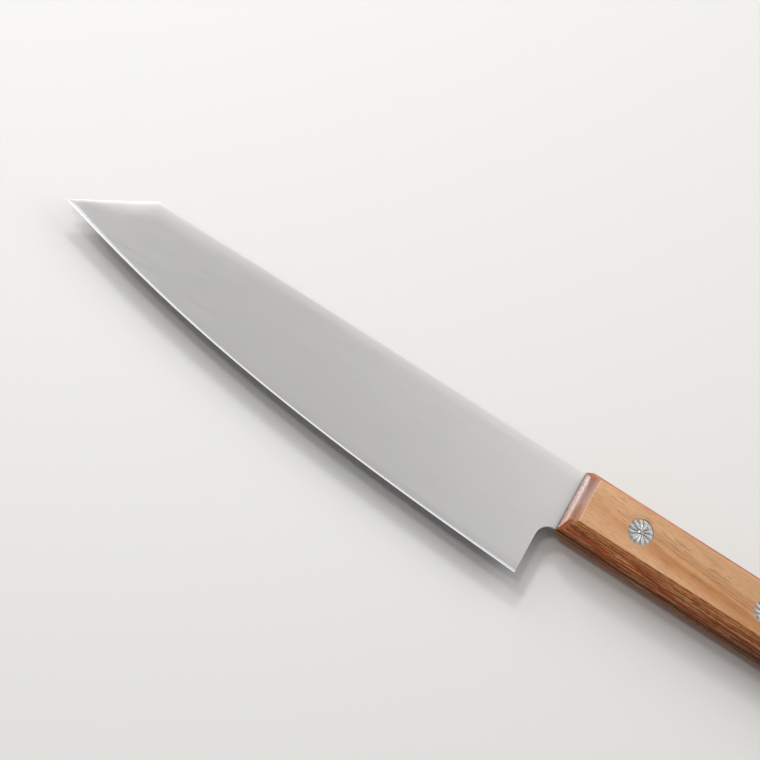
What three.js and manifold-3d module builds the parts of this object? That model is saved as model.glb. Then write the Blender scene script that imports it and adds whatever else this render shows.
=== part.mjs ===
// Kiritsuke petty knife: a stainless blade with a full tang, two octagonal wooden scales
// and three two-piece cutler's rivets with rosette heads.
//
// Millimetres, +Z up. The knife lies flat on its right scale. It is drawn in the knife's own
// frame: X runs along the knife, the tip towards -X and the butt towards +X, with x = 0 at the
// handle's front. y = 0 is the line of the spine, and the edge is on the -Y side. z = 0 is the
// middle plane of the blade. The group at the end moves the origin to the middle of the base.

import * as THREE from "three";
import { mergeVertices } from "three/addons/utils/BufferGeometryUtils.js";
import Module from "manifold-3d";

const wasm = await Module();
wasm.setup();

// Blade outline
const BLADE_LENGTH = 150.6; // tip to handle front, along the spine
const CLIP_LENGTH = 20.6; // angled point, along the spine
const CLIP_DROP = 13.2; // tip below the spine
const HEEL_HEIGHT = 33.9; // spine to edge at the heel
const HEEL_SETBACK = 4.2; // heel's back edge ahead of the handle
const EDGE_TIP_ANGLE = 17; // degrees between edge and spine at the tip
const EDGE_HEEL_ANGLE = 3; // degrees between edge and spine at the heel
const CHOIL_RADIUS = 4.2; // fillet from the heel's back edge into the neck

// Blade section
const STOCK_THICKNESS = 1.4; // sheet steel, full thickness along the tang
const CLIP_THICKNESS = 1.1; // spine thickness where the angled point begins
const SHOULDER_THICKNESS = 0.32; // steel left where the edge bevel starts, at tip and heel
const BEVEL_MIDDLE = 0.42; // edge bevel seen from the side, halfway along the edge
const BEVEL_ENDS = 0.75; // and at tip and heel, where hand honing takes more
const FACE_BULGE = 0.12; // convex grind: share by which the face stands over a flat one
const CROWN_WIDTH = 2.6; // band along the spine that rolls over
const CROWN_DROP = 0.14; // how far each face rolls in at the spine

// Handle
const HANDLE_LENGTH = 115;
const HANDLE_HEIGHT = 17.9; // at the front
const HANDLE_BELLY = 0.7; // further depth that the underside gains by the butt
const BELLY_START_ANGLE = 0.9; // degrees, slope of the underside at the front
const HANDLE_THICKNESS = 14.8;
const SIDE_CHAMFER_RUN = 2.6; // octagon chamfers, measured across the flat side
const SIDE_CHAMFER_DEPTH = 4.4; // and measured through the thickness
const END_LEAN = 0.8; // how far the end faces at front and butt lean back up to their chamfer
const END_CHAMFER_RUN = 1.9; // chamfers over the end faces, along the handle
const END_CHAMFER_DEPTH = 1.9;
const END_CORNER = 1.0; // small facets where end faces meet the long chamfers
const ARRIS_RADIUS = 0.5; // eased edges of the flat sides
const BROW_RADIUS = 2.5; // rounder edge between an end face and its chamfer
const GLUE_FILM = 0.05; // between tang and scale
const TANG_RECESS = 0.12; // tang's rim below the wood
const TANG_START = 0.6; // full thickness begins this far behind the wood's front
const TANG_CORNER = 0.8; // tang's rounded lower corner at the butt, under the wood's facets

// Rivets
const RIVET_INSET = 18.4; // first and last rivet from the handle's ends
const RIVET_DROP = 8.8; // row of rivets below the spine
const HEAD_DIAMETER = 7;
const HEAD_THICKNESS = 1.3;
const HEAD_SINK = 0.05; // highest point of a head below the wood
const TUBE_DIAMETER = 4.2; // hollow half
const PIN_DIAMETER = 2.6; // solid half
const END_PLAY = 0.3; // free length at the end of tube and pin
const HOLE_CLEARANCE = 0.1; // radial, rivet in wood and steel
const PIN_CLEARANCE = 0.05; // radial, pin in tube
const PETALS = 12;
const PETAL_RELIEF = 0.2; // depth of the grooves at the roots of the petals
const TIP_RELIEF = 0.12; // and at their ends
const PETAL_TIP = 1; // length of a petal's rounded end
const PETAL_FULLNESS = 0.8; // exponent: lower is a fuller petal with a sharper groove
const ROOT_RISE = 0.2; // a petal's root, as a share of its end before the square root
const HEAD_CROWN = 0.02; // the whole head is a low dome
const BUTTON_DIAMETER = 1.2; // centre of the rosette
const BUTTON_FALL = 0.2; // edge of the button below its top
const RIM_WIDTH = 0.06; // plain rim round the petals

// Facets
const CLIP_STATIONS = 7;
const BLADE_STATIONS = 24;
const UNDERSIDE_FACETS = 8;
const HOLE_FACETS = 32;
const ARRIS_FACETS = 3;
const FACETS_PER_PETAL = 4;
const FACE_ROWS = [0, 1 / 3, 2 / 3]; // shares of the face from the bevel up to the crown
const CROWN_ROWS = [1, 0.6, 0.25, 0]; // shares of the crown, counted down from the spine
const PETAL_ROWS = [0, 0.12, 0.45, 0.72, 0.9, 1]; // shares of a petal's length

const X_TIP = -BLADE_LENGTH;
const X_CLIP = X_TIP + CLIP_LENGTH;
const X_HEEL = -HEEL_SETBACK;
const Z_FACE = HANDLE_THICKNESS / 2;
const Z_INNER = STOCK_THICKNESS / 2 + GLUE_FILM;
const Z_CHAMFER = Z_FACE - SIDE_CHAMFER_DEPTH;
const MARGIN = 5; // how far cutters reach past what they cut

const AXIS_X = new THREE.Vector3(1, 0, 0);
const AXIS_Y = new THREE.Vector3(0, 1, 0);
const AXIS_Z = new THREE.Vector3(0, 0, 1);

const { clamp, degToRad, lerp } = THREE.MathUtils;

// Solids

function solidOf(geometry) {
  geometry.deleteAttribute("normal");
  geometry.deleteAttribute("uv");
  const merged = mergeVertices(geometry, 1e-4);
  const index = merged.index.array;
  const triangles = [];
  for (let i = 0; i < index.length; i += 3) {
    const [a, b, c] = index.slice(i, i + 3);
    if (a !== b && b !== c && c !== a) triangles.push(a, b, c);
  }
  return new wasm.Manifold(new wasm.Mesh({
    numProp: 3,
    vertProperties: new Float32Array(merged.attributes.position.array),
    triVerts: new Uint32Array(triangles),
  }));
}

function geometryOf(solid) {
  const mesh = solid.getMesh();
  const geometry = new THREE.BufferGeometry();
  geometry.setAttribute("position", new THREE.BufferAttribute(mesh.vertProperties, 3));
  geometry.setIndex(new THREE.BufferAttribute(mesh.triVerts, 1));
  geometry.computeVertexNormals();
  return geometry;
}

// A closed skin over a row of rings with equally many points. Each ring runs clockwise when
// seen along the row, and the first and last rings are closed by a fan.
function skin(rings) {
  const count = rings[0].length;
  const index = [];
  for (let k = 0; k + 1 < rings.length; k += 1) {
    for (let i = 0; i < count; i += 1) {
      const j = (i + 1) % count;
      const [a, b, c, d] = [k * count + i, (k + 1) * count + i, (k + 1) * count + j, k * count + j];
      index.push(a, b, c, a, c, d);
    }
  }
  const last = (rings.length - 1) * count;
  for (let i = 1; i + 1 < count; i += 1) {
    index.push(0, i, i + 1, last, last + i + 1, last + i);
  }
  const geometry = new THREE.BufferGeometry().setFromPoints(rings.flat());
  geometry.setIndex(index);
  return geometry;
}

function extrusion(shape, depth, axisU, axisV, start, curveSegments = 12) {
  const geometry = new THREE.ExtrudeGeometry(shape, { depth, bevelEnabled: false, curveSegments });
  const along = new THREE.Vector3().crossVectors(axisU, axisV);
  const placed = new THREE.Matrix4().makeBasis(axisU, axisV, along);
  placed.setPosition(along.multiplyScalar(start));
  return solidOf(geometry.applyMatrix4(placed));
}

// A closed outline through corners, anticlockwise, whose corners with a radius become arcs.
function filletedShape(corners) {
  const points = corners.map(([x, y]) => new THREE.Vector2(x, y));
  const shape = new THREE.Shape();
  points.forEach((corner, i) => {
    const radius = corners[i][2] ?? 0;
    const before = points.at(i - 1).clone().sub(corner);
    const after = points[(i + 1) % points.length].clone().sub(corner);
    const half = (Math.PI - before.angleTo(after)) / 2;
    const reach = Math.min(radius * Math.tan(half), before.length() / 2, after.length() / 2);
    const arc = reach / Math.tan(half);
    const start = before.setLength(reach);
    const centre = start.clone().add(after.setLength(reach)).setLength(Math.hypot(arc, reach));
    const facing = start.clone().sub(centre).angle();
    centre.add(corner);
    if (radius > 0) shape.absarc(centre.x, centre.y, arc, facing, facing + 2 * half);
    else if (i > 0) shape.lineTo(corner.x, corner.y);
    else shape.moveTo(corner.x, corner.y);
  });
  return shape;
}

// Blade

// Depth of the edge below the spine: a cubic with a set slope at the tip and at the heel.
function edgeDepth(x) {
  const span = X_HEEL - X_TIP;
  const u = (x - X_TIP) / span;
  const rise = HEEL_HEIGHT - CLIP_DROP;
  const slopeTip = Math.tan(degToRad(EDGE_TIP_ANGLE)) * span;
  const slopeHeel = Math.tan(degToRad(EDGE_HEEL_ANGLE)) * span;
  if (u > 1) return HEEL_HEIGHT + slopeHeel * (u - 1);
  const cubic = slopeTip + slopeHeel - 2 * rise;
  const square = 3 * rise - 2 * slopeTip - slopeHeel;
  return CLIP_DROP + u * (slopeTip + u * (square + u * cubic));
}

function topDepth(x) {
  return Math.max(0, (CLIP_DROP * (X_CLIP - x)) / CLIP_LENGTH);
}

function spineThickness(x) {
  return lerp(CLIP_THICKNESS, STOCK_THICKNESS, Math.max(0, (x - X_CLIP) / -X_CLIP));
}

// Height of the edge bevel at x.
function bevelHeight(x) {
  const fromMiddle = (2 * (x - X_TIP)) / (X_HEEL - X_TIP) - 1;
  return lerp(BEVEL_MIDDLE, BEVEL_ENDS, fromMiddle ** 2);
}

// One ring round the blade: from the edge up the left face, over the spine and down the right.
function ringOf(rows, apexY, x) {
  const left = rows.map(([y, z]) => new THREE.Vector3(x, y, z));
  const right = rows.map(([y, z]) => new THREE.Vector3(x, y, -z)).reverse();
  return [new THREE.Vector3(x, apexY, 0), ...left, ...right];
}

// Rows of a ground section at x, as [y, half thickness], from the bevel's shoulder to the spine.
function groundRing(x) {
  const edge = edgeDepth(x);
  const top = topDepth(x);
  const height = edge - top;
  const fullness = Math.min(1, height / (3 * BEVEL_ENDS));
  const bevel = bevelHeight(x) * fullness;
  const shoulder = ((SHOULDER_THICKNESS / 2) * bevel) / BEVEL_ENDS;
  const spine = spineThickness(x) / 2;
  const crown = Math.min(CROWN_WIDTH, (height - bevel) / 2);
  const heights = FACE_ROWS.map((share) => lerp(bevel, height - crown, share));
  const crowned = CROWN_ROWS.map((share) => height - crown * share);
  const rows = [...heights, ...crowned].map((above) => {
    const share = (above - bevel) / Math.max(edge - bevel, BEVEL_ENDS);
    const ground = lerp(shoulder, spine, share * (1 + FACE_BULGE * (1 - share)));
    const roll = crown > 0 ? Math.max(0, 1 - (height - above) / crown) : 0;
    return [above - edge, ground - CROWN_DROP * (ground / spine) * roll ** 2];
  });
  return ringOf(rows, -edge, x);
}

// Underside of the handle: it leaves the front at a slope and levels out at the butt.
const underside = new THREE.CubicBezierCurve(
  new THREE.Vector2(0, -HANDLE_HEIGHT),
  new THREE.Vector2(
    HANDLE_LENGTH / 3,
    -HANDLE_HEIGHT - (HANDLE_LENGTH / 3) * Math.tan(degToRad(BELLY_START_ANGLE)),
  ),
  new THREE.Vector2((2 * HANDLE_LENGTH) / 3, -HANDLE_HEIGHT - HANDLE_BELLY),
  new THREE.Vector2(HANDLE_LENGTH, -HANDLE_HEIGHT - HANDLE_BELLY),
);

const rivetStations = {
  front: RIVET_INSET,
  middle: HANDLE_LENGTH / 2,
  rear: HANDLE_LENGTH - RIVET_INSET,
};

// A round cutter along Z from a profile of [radius, z] corners.
function turned(profile) {
  const points = profile.map(([radius, z]) => new THREE.Vector2(radius, z));
  const geometry = new THREE.LatheGeometry(points, HOLE_FACETS);
  return solidOf(geometry.rotateX(Math.PI / 2));
}

function atRivet(solid, x) {
  return solid.translate([x, -RIVET_DROP, 0]);
}

// Ground from the point to just inside the scales, then cut away behind the heel.
function groundSteel() {
  const rings = [];
  for (let i = 0; i < CLIP_STATIONS; i += 1) {
    rings.push(groundRing(lerp(X_TIP, X_CLIP, i / CLIP_STATIONS)));
  }
  for (let i = 0; i <= BLADE_STATIONS; i += 1) {
    rings.push(groundRing(lerp(X_CLIP, 2 * TANG_START, i / BLADE_STATIONS)));
  }
  const low = -HEEL_HEIGHT - MARGIN;
  const neck = TANG_RECESS - HANDLE_HEIGHT;
  const behindHeel = filletedShape([
    [X_HEEL, low],
    [MARGIN, low],
    [MARGIN, neck],
    [X_HEEL, neck, CHOIL_RADIUS],
  ]);
  const choil = extrusion(behindHeel, 2 * MARGIN, AXIS_X, AXIS_Y, -MARGIN);
  return solidOf(skin(rings)).subtract(choil);
}

// Full-thickness tang, a little inside the wood all round.
function tang() {
  const butt = HANDLE_LENGTH - TANG_RECESS;
  const rim = underside.getPoints(UNDERSIDE_FACETS).map(({ x, y }) => [
    clamp(x, TANG_START, butt),
    y + TANG_RECESS,
    x < butt ? 0 : TANG_CORNER,
  ]);
  const outline = filletedShape([...rim, [butt, -TANG_RECESS], [TANG_START, -TANG_RECESS]]);
  return extrusion(outline, STOCK_THICKNESS, AXIS_X, AXIS_Y, -STOCK_THICKNESS / 2);
}

function bladeSolid() {
  const radius = TUBE_DIAMETER / 2 + HOLE_CLEARANCE;
  const hole = turned([[0, -MARGIN], [radius, -MARGIN], [radius, MARGIN], [0, MARGIN]]);
  const holes = Object.values(rivetStations).map((x) => atRivet(hole, x));
  return holes.reduce((steel, cut) => steel.subtract(cut), groundSteel().add(tang()));
}

// Scales

// Planes of the small facets between the end faces and the long chamfers, each as its inward
// normal and its offset from the origin.
function endCorners() {
  const endRise = Z_FACE - END_CHAMFER_DEPTH - Z_INNER;
  const inset = (END_LEAN * (Z_CHAMFER - Z_INNER)) / endRise + END_CORNER;
  const planes = [];
  for (const [x, outX] of [[0, -1], [HANDLE_LENGTH, 1]]) {
    for (const [y, outY] of [[0, 1], [-HANDLE_HEIGHT, -1]]) {
      const end = new THREE.Vector3(outX * endRise, 0, END_LEAN).normalize();
      const side = new THREE.Vector3(0, outY * SIDE_CHAMFER_DEPTH, SIDE_CHAMFER_RUN).normalize();
      const inward = end.add(side).normalize().negate();
      const corner = new THREE.Vector3(x - outX * inset, y, Z_CHAMFER);
      planes.push([inward.toArray(), inward.dot(corner)]);
    }
  }
  return planes;
}

function scaleSolid() {
  // Half octagon across the handle. Its lower chamfer runs on to the tang, and the underside
  // is cut through it below.
  const slope = SIDE_CHAMFER_RUN / SIDE_CHAMFER_DEPTH;
  const section = filletedShape([
    [0, Z_INNER],
    [-HANDLE_HEIGHT - slope * (Z_CHAMFER - Z_INNER), Z_INNER],
    [SIDE_CHAMFER_RUN - HANDLE_HEIGHT, Z_FACE, ARRIS_RADIUS],
    [-SIDE_CHAMFER_RUN, Z_FACE, ARRIS_RADIUS],
    [0, Z_CHAMFER, ARRIS_RADIUS],
  ].reverse());
  const bar = extrusion(section, HANDLE_LENGTH + 2 * MARGIN, AXIS_Y, AXIS_Z, -MARGIN, ARRIS_FACETS);

  // Seen from the side: a leaning face at each end, and a chamfer over it.
  const brow = Z_FACE - END_CHAMFER_DEPTH;
  const flat = END_LEAN + END_CHAMFER_RUN;
  const profile = filletedShape([
    [0, -MARGIN],
    [HANDLE_LENGTH, -MARGIN],
    [HANDLE_LENGTH, Z_INNER],
    [HANDLE_LENGTH - END_LEAN, brow, BROW_RADIUS],
    [HANDLE_LENGTH - flat, Z_FACE, ARRIS_RADIUS],
    [flat, Z_FACE, ARRIS_RADIUS],
    [END_LEAN, brow, BROW_RADIUS],
    [0, Z_INNER],
  ]);
  const width = HANDLE_HEIGHT + 2 * MARGIN;
  const ends = extrusion(profile, 2 * width, AXIS_X, AXIS_Z, -width, ARRIS_FACETS);

  const past = HANDLE_LENGTH + MARGIN;
  const plan = filletedShape([
    [-MARGIN, -HANDLE_HEIGHT],
    ...underside.getPoints(UNDERSIDE_FACETS).map(({ x, y }) => [x, y]),
    [past, -HANDLE_HEIGHT - HANDLE_BELLY],
    [past, MARGIN],
    [-MARGIN, MARGIN],
  ]);
  const above = extrusion(plan, 2 * Z_FACE, AXIS_X, AXIS_Y, 0);

  const shank = TUBE_DIAMETER / 2 + HOLE_CLEARANCE;
  const head = HEAD_DIAMETER / 2 + HOLE_CLEARANCE;
  const floor = Z_FACE - HEAD_SINK - HEAD_THICKNESS - GLUE_FILM;
  const top = Z_FACE + MARGIN;
  const bore = turned([
    [0, -MARGIN],
    [shank, -MARGIN],
    [shank, floor],
    [head, floor],
    [head, top],
    [0, top],
  ]);
  const bores = Object.values(rivetStations).map((x) => atRivet(bore, x));
  const wood = endCorners().reduce(
    (scale, [inward, offset]) => scale.trimByPlane(inward, offset),
    bar.intersect(ends).intersect(above),
  );
  return bores.reduce((scale, cut) => scale.subtract(cut), wood);
}

// Rivets

// Depth of the rosette's surface below its highest point. Petals are rounded ridges that meet
// in sharp grooves. They rise from the button to the rim and end in a rounded tip.
function rosetteDepth(radius, angle) {
  const button = BUTTON_DIAMETER / 2;
  const dome = HEAD_CROWN * ((2 * radius) / HEAD_DIAMETER) ** 2;
  if (radius <= button) return dome + BUTTON_FALL * (radius / button) ** 2;
  const petalEnd = HEAD_DIAMETER / 2 - RIM_WIDTH;
  const along = Math.min(1, (radius - button) / (petalEnd - button));
  const turn = (PETALS * angle) / (2 * Math.PI);
  const across = 2 * (turn - Math.round(turn));
  const tip = Math.max(0, 1 - (petalEnd - radius) / PETAL_TIP);
  const off = Math.min(1, Math.hypot(across, tip));
  const ridge = Math.cos((Math.PI / 2) * off) ** PETAL_FULLNESS;
  const rise = Math.sqrt(lerp(ROOT_RISE, 1, along));
  return dome + lerp(PETAL_RELIEF, TIP_RELIEF, along) * (1 - ridge * rise);
}

// One half of a rivet, standing on +Z, from its rosette down to the end of its shank. bore is
// the radius of the hollow half, or 0 on the solid half.
function rivetHalf(shank, bore, boreDepth) {
  const facets = PETALS * FACETS_PER_PETAL;
  const crest = Z_FACE - HEAD_SINK;
  const underHead = crest - HEAD_THICKNESS;
  const end = -crest + HEAD_THICKNESS + END_PLAY;
  const rim = HEAD_DIAMETER / 2;
  const button = BUTTON_DIAMETER / 2;
  const petalEnd = rim - RIM_WIDTH;
  const rosette = PETAL_ROWS.map((share) => lerp(button, petalEnd, share));
  const top = [0, button * 0.6, ...rosette, rim].map((r) => [r, (a) => crest - rosetteDepth(r, a)]);
  const sides = [[rim, underHead], [shank, underHead], [shank, end]];
  if (bore > 0) sides.push([bore, end], [bore, crest - boreDepth], [0, crest - boreDepth]);
  else sides.push([0, end]);
  const rings = [...top, ...sides].map(([radius, height]) => {
    const ring = [];
    for (let i = 0; i < facets; i += 1) {
      const angle = (2 * Math.PI * i) / facets;
      const z = typeof height === "function" ? height(angle) : height;
      ring.push(new THREE.Vector3(radius * Math.cos(angle), radius * Math.sin(angle), z));
    }
    return ring;
  });
  return solidOf(skin(rings));
}

// Assembly

const steel = { color: 0xc9c8c4, metalness: 1, roughness: 0.32 };
const lacqueredWood = { color: 0xc98d5e, metalness: 0, roughness: 0.3 };
const nickelSilver = { color: 0xd6d3cc, metalness: 1, roughness: 0.2 };

const knife = new THREE.Group();
knife.position.set(
  (BLADE_LENGTH - HANDLE_LENGTH) / 2,
  HEEL_HEIGHT / 2,
  Z_FACE,
);

function addPiece(name, geometry, finish) {
  const mesh = new THREE.Mesh(geometry, new THREE.MeshStandardMaterial(finish));
  mesh.name = name;
  knife.add(mesh);
}

addPiece("blade", geometryOf(bladeSolid()), steel);

const scale = scaleSolid();
addPiece("left_scale", geometryOf(scale), lacqueredWood);
addPiece("right_scale", geometryOf(scale.mirror([0, 0, 1])), lacqueredWood);

const tubeHalf = rivetHalf(TUBE_DIAMETER / 2, PIN_DIAMETER / 2 + PIN_CLEARANCE, HEAD_THICKNESS);
const pinHalf = rivetHalf(PIN_DIAMETER / 2, 0, 0).rotate([180, 0, 0]);
for (const [place, x] of Object.entries(rivetStations)) {
  addPiece(`${place}_rivet_tube`, geometryOf(atRivet(tubeHalf, x)), nickelSilver);
  addPiece(`${place}_rivet_pin`, geometryOf(atRivet(pinHalf, x)), nickelSilver);
}

const part = new THREE.Group();
part.add(knife);

export default part;
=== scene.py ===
# %% [markdown]
# # A kiritsuke petty knife
# This lesson dresses the CAD model of a small Japanese kitchen knife: a satin blade with an
# angled point, two octagonal wooden scales, and three rivets whose heads are pressed into
# rosettes. The CAD model fixes every size. Here each piece is modelled again with finer
# surfaces, gets its material, and takes the place of its CAD node.

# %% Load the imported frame
import math

import bmesh
import bpy
from mathutils import Matrix, Vector


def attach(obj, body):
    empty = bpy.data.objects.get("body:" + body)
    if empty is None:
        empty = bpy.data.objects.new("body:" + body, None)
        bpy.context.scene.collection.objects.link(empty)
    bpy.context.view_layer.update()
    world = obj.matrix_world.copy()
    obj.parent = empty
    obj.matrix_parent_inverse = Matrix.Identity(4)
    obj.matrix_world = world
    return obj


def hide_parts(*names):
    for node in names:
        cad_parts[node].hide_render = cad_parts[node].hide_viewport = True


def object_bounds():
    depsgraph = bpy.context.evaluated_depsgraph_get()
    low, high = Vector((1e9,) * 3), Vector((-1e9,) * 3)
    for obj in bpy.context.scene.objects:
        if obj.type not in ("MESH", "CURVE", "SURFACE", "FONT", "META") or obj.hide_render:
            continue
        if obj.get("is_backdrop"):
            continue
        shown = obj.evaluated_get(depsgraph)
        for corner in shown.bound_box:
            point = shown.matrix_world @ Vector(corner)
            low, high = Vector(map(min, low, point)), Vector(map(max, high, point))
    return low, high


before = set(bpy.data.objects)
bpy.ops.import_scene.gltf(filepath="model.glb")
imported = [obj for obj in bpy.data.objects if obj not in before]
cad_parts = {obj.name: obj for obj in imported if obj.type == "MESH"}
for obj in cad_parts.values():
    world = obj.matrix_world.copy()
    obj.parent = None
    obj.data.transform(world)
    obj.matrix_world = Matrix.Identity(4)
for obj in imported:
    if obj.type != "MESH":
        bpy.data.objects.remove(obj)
cad_box = [list(corner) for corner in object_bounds()]
print("CAD nodes:", ", ".join(sorted(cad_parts)))
print("CAD box in mm:", [[round(v * 1000, 2) for v in corner] for corner in cad_box])

# %% [markdown]
# ## The knife's own axes
# A cutler measures from the handle's front and from the spine, so the pieces are drawn in the
# knife's own axes, in millimetres: x runs to the butt, y = 0 is the spine, the edge is on the
# -Y side, and z = 0 is the middle of the steel. While a piece is modelled, its object's origin
# stands at that point. At the end the place moves into the mesh, as in the CAD nodes.

# %% The knife's axes in the frame
MM = 0.001
BLADE_LENGTH = 150.6
HANDLE_LENGTH = 115.0
HEEL_HEIGHT = 33.9
HANDLE_THICKNESS = 14.8
Z_FACE = HANDLE_THICKNESS / 2
KNIFE_ORIGIN = Vector(
    ((BLADE_LENGTH - HANDLE_LENGTH) / 2, HEEL_HEIGHT / 2, Z_FACE)
) * MM


def at(x, y, z):
    """A point of the knife's own axes, in the frame's metres."""
    return KNIFE_ORIGIN + Vector((x, y, z)) * MM


def lerp(a, b, share):
    return a + (b - a) * share


print("Knife origin in mm:", [round(v / MM, 3) for v in KNIFE_ORIGIN])

# %% [markdown]
# ## Working by hand in code
# Every operator acts on what is selected. So small helpers select one piece, or pick vertices,
# edges or faces of it by where they are. Others close a mesh, copy a piece, flip it or apply a
# modifier. The last one finishes a piece: it moves its place into the mesh, shades it smooth
# except at real corners, hangs it under the root body and hides the CAD node that it stands for.

# %% Helpers for modelling
SELECT_MODE = {"verts": "VERT", "edges": "EDGE", "faces": "FACE"}
WELD = 0.0005 * MM  # vertices closer than this become one


def name_new(name):
    """Name the piece that was just added or copied."""
    piece = bpy.context.object
    piece.name = piece.data.name = name
    return piece


def pick(kind, wanted):
    """In edit mode, select only the verts, edges or faces for which wanted() is true."""
    mesh = bpy.context.edit_object.data
    bpy.ops.mesh.select_mode(type=SELECT_MODE[kind])
    bpy.ops.mesh.select_all(action="DESELECT")
    shape = bmesh.from_edit_mesh(mesh)
    found = [item for item in getattr(shape, kind) if wanted(item)]
    for item in found:
        item.select_set(True)
    shape.select_flush_mode()
    bmesh.update_edit_mesh(mesh)
    return len(found)


def close_up():
    """Weld doubled vertices, point the faces outwards and leave edit mode."""
    bpy.ops.mesh.select_all(action="SELECT")
    bpy.ops.mesh.remove_doubles(threshold=WELD)
    bpy.ops.mesh.normals_make_consistent(inside=False)
    bpy.ops.object.mode_set(mode="OBJECT")


def only(piece):
    """Make this object the one that operators act on."""
    bpy.ops.object.select_all(action="DESELECT")
    piece.select_set(True)
    bpy.context.view_layer.objects.active = piece


def copy_of(piece, name):
    only(piece)
    bpy.ops.object.duplicate()
    return name_new(name)


def flip(piece):
    """Mirror a piece to the other side of the steel."""
    only(piece)
    bpy.ops.object.mode_set(mode="EDIT")
    bpy.ops.mesh.select_all(action="SELECT")
    bpy.ops.transform.resize(value=(1, 1, -1), center_override=KNIFE_ORIGIN)
    close_up()


def apply_modifier(piece, kind, **settings):
    only(piece)
    bpy.ops.object.modifier_add(type=kind)
    modifier = piece.modifiers[-1]
    for setting, value in settings.items():
        setattr(modifier, setting, value)
    bpy.ops.object.modifier_apply(modifier=modifier.name)


def combine(piece, tool, operation):
    """Boolean of two closed pieces. The tool is used up."""
    apply_modifier(piece, "BOOLEAN", object=tool, operation=operation, solver="EXACT")
    bpy.data.objects.remove(tool)


def finish_piece(piece, node, corner_angle):
    only(piece)
    bpy.ops.object.transform_apply(location=True, rotation=True, scale=True)
    bpy.ops.object.shade_smooth_by_angle(angle=math.radians(corner_angle))
    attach(piece, "root")
    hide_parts(node)
    triangles = sum(len(p.vertices) - 2 for p in piece.data.polygons)
    size = [round(v / MM, 2) for v in piece.dimensions]
    print(f"{piece.name}: {triangles} triangles, {size} mm, stands for {node}")


bpy.ops.object.select_all(action="DESELECT")
print("Helpers ready")

# %% [markdown]
# ## The blade's outline
# A kiritsuke point is a straight cut from the spine down to the tip. The edge rises to it in one
# long curve, drawn as a cubic with a set slope at the tip and at the heel. Behind the heel the
# outline turns up and rounds into the neck. These are the same curves as in the CAD source.

# %% Outline of the blade
CLIP_LENGTH, CLIP_DROP = 20.6, 13.2
HEEL_SETBACK, CHOIL_RADIUS = 4.2, 4.2
EDGE_TIP_SLOPE = math.tan(math.radians(17))
EDGE_HEEL_SLOPE = math.tan(math.radians(3))
HANDLE_HEIGHT, TANG_RECESS = 17.9, 0.12
X_TIP, X_HEEL = -BLADE_LENGTH, -HEEL_SETBACK
X_CLIP = X_TIP + CLIP_LENGTH
X_REAR = 1.2  # the ground steel ends here, inside the wood
Y_NECK = TANG_RECESS - HANDLE_HEIGHT


def edge_depth(x):
    span = X_HEEL - X_TIP
    u = (x - X_TIP) / span
    if u > 1:
        return HEEL_HEIGHT + EDGE_HEEL_SLOPE * span * (u - 1)
    rise = HEEL_HEIGHT - CLIP_DROP
    tip, heel = EDGE_TIP_SLOPE * span, EDGE_HEEL_SLOPE * span
    return CLIP_DROP + u * (tip + u * (3 * rise - 2 * tip - heel + u * (tip + heel - 2 * rise)))


def top_depth(x):
    return max(0.0, CLIP_DROP * (X_CLIP - x) / CLIP_LENGTH)


def rear_end(y):
    """How far back the steel reaches at height y: the neck, the choil's arc, then the heel."""
    if y > Y_NECK + 1e-6:
        return X_REAR
    drop = y - (Y_NECK - CHOIL_RADIUS)
    if drop < 0:
        return X_HEEL
    return X_HEEL + CHOIL_RADIUS - math.sqrt(max(0.0, CHOIL_RADIUS**2 - drop**2))


print("Edge depth at tip and heel:", edge_depth(X_TIP), round(edge_depth(X_HEEL), 3))

# %% [markdown]
# ## The grind
# The faces taper from a spine of 1.4 mm to a thin shoulder, with a slight belly, and a narrow
# bevel makes the cutting edge. It is honed by hand, so it is widest at tip and heel, and the stone
# rounds the face a little just above it. At the spine each face rolls over, first in a broad crown
# and then in a narrow lip. They catch the light as a bright line, broadest at the clip, that fades
# towards the handle. A grid takes this shape well, because its rows can follow the bevel, the face
# and the crown. No operator makes a convex grind, so each vertex is set by the rule.

# %% Half thickness of the blade
STOCK_THICKNESS, CLIP_THICKNESS = 1.4, 1.1
SHOULDER_THICKNESS = 0.32
BEVEL_TIP, BEVEL_MIDDLE, BEVEL_HEEL = 1.0, 0.42, 0.75  # height of the edge bevel
ROLL_WIDTH, ROLL_DROP = 0.3, 0.022  # the face rolls over a little above the bevel
FACE_BULGE = 0.12
CROWN_WIDTH, CROWN_DROP = 3.8, 0.17
WIDER_AT_CLIP, DEEPER_AT_CLIP = 1.5, 1.75  # times as much as further back
CLIP_REACH = 0.25  # share of the way to the handle over which that fades
LIP_WIDTH, LIP_DROP = 0.8, 0.05  # rounded corner of the spine
NECK_SHARE = 0.35  # of both drops that is left at the handle
THIN_STEEL = 1.5  # the drops fade where the spine is over this many times as thick as the steel
TIP_BLEND = 3 * BEVEL_TIP  # height of the blade below which its forms run together


def fullness(x):
    """1 along the blade, falling to 0 at the very tip."""
    return min(1.0, (edge_depth(x) - top_depth(x)) / TIP_BLEND)


def bevel_height(x):
    from_middle = 2 * (x - X_TIP) / (X_HEEL - X_TIP) - 1
    end = BEVEL_TIP if from_middle < 0 else BEVEL_HEEL
    return lerp(BEVEL_MIDDLE, end, from_middle**2) * fullness(x)


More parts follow.
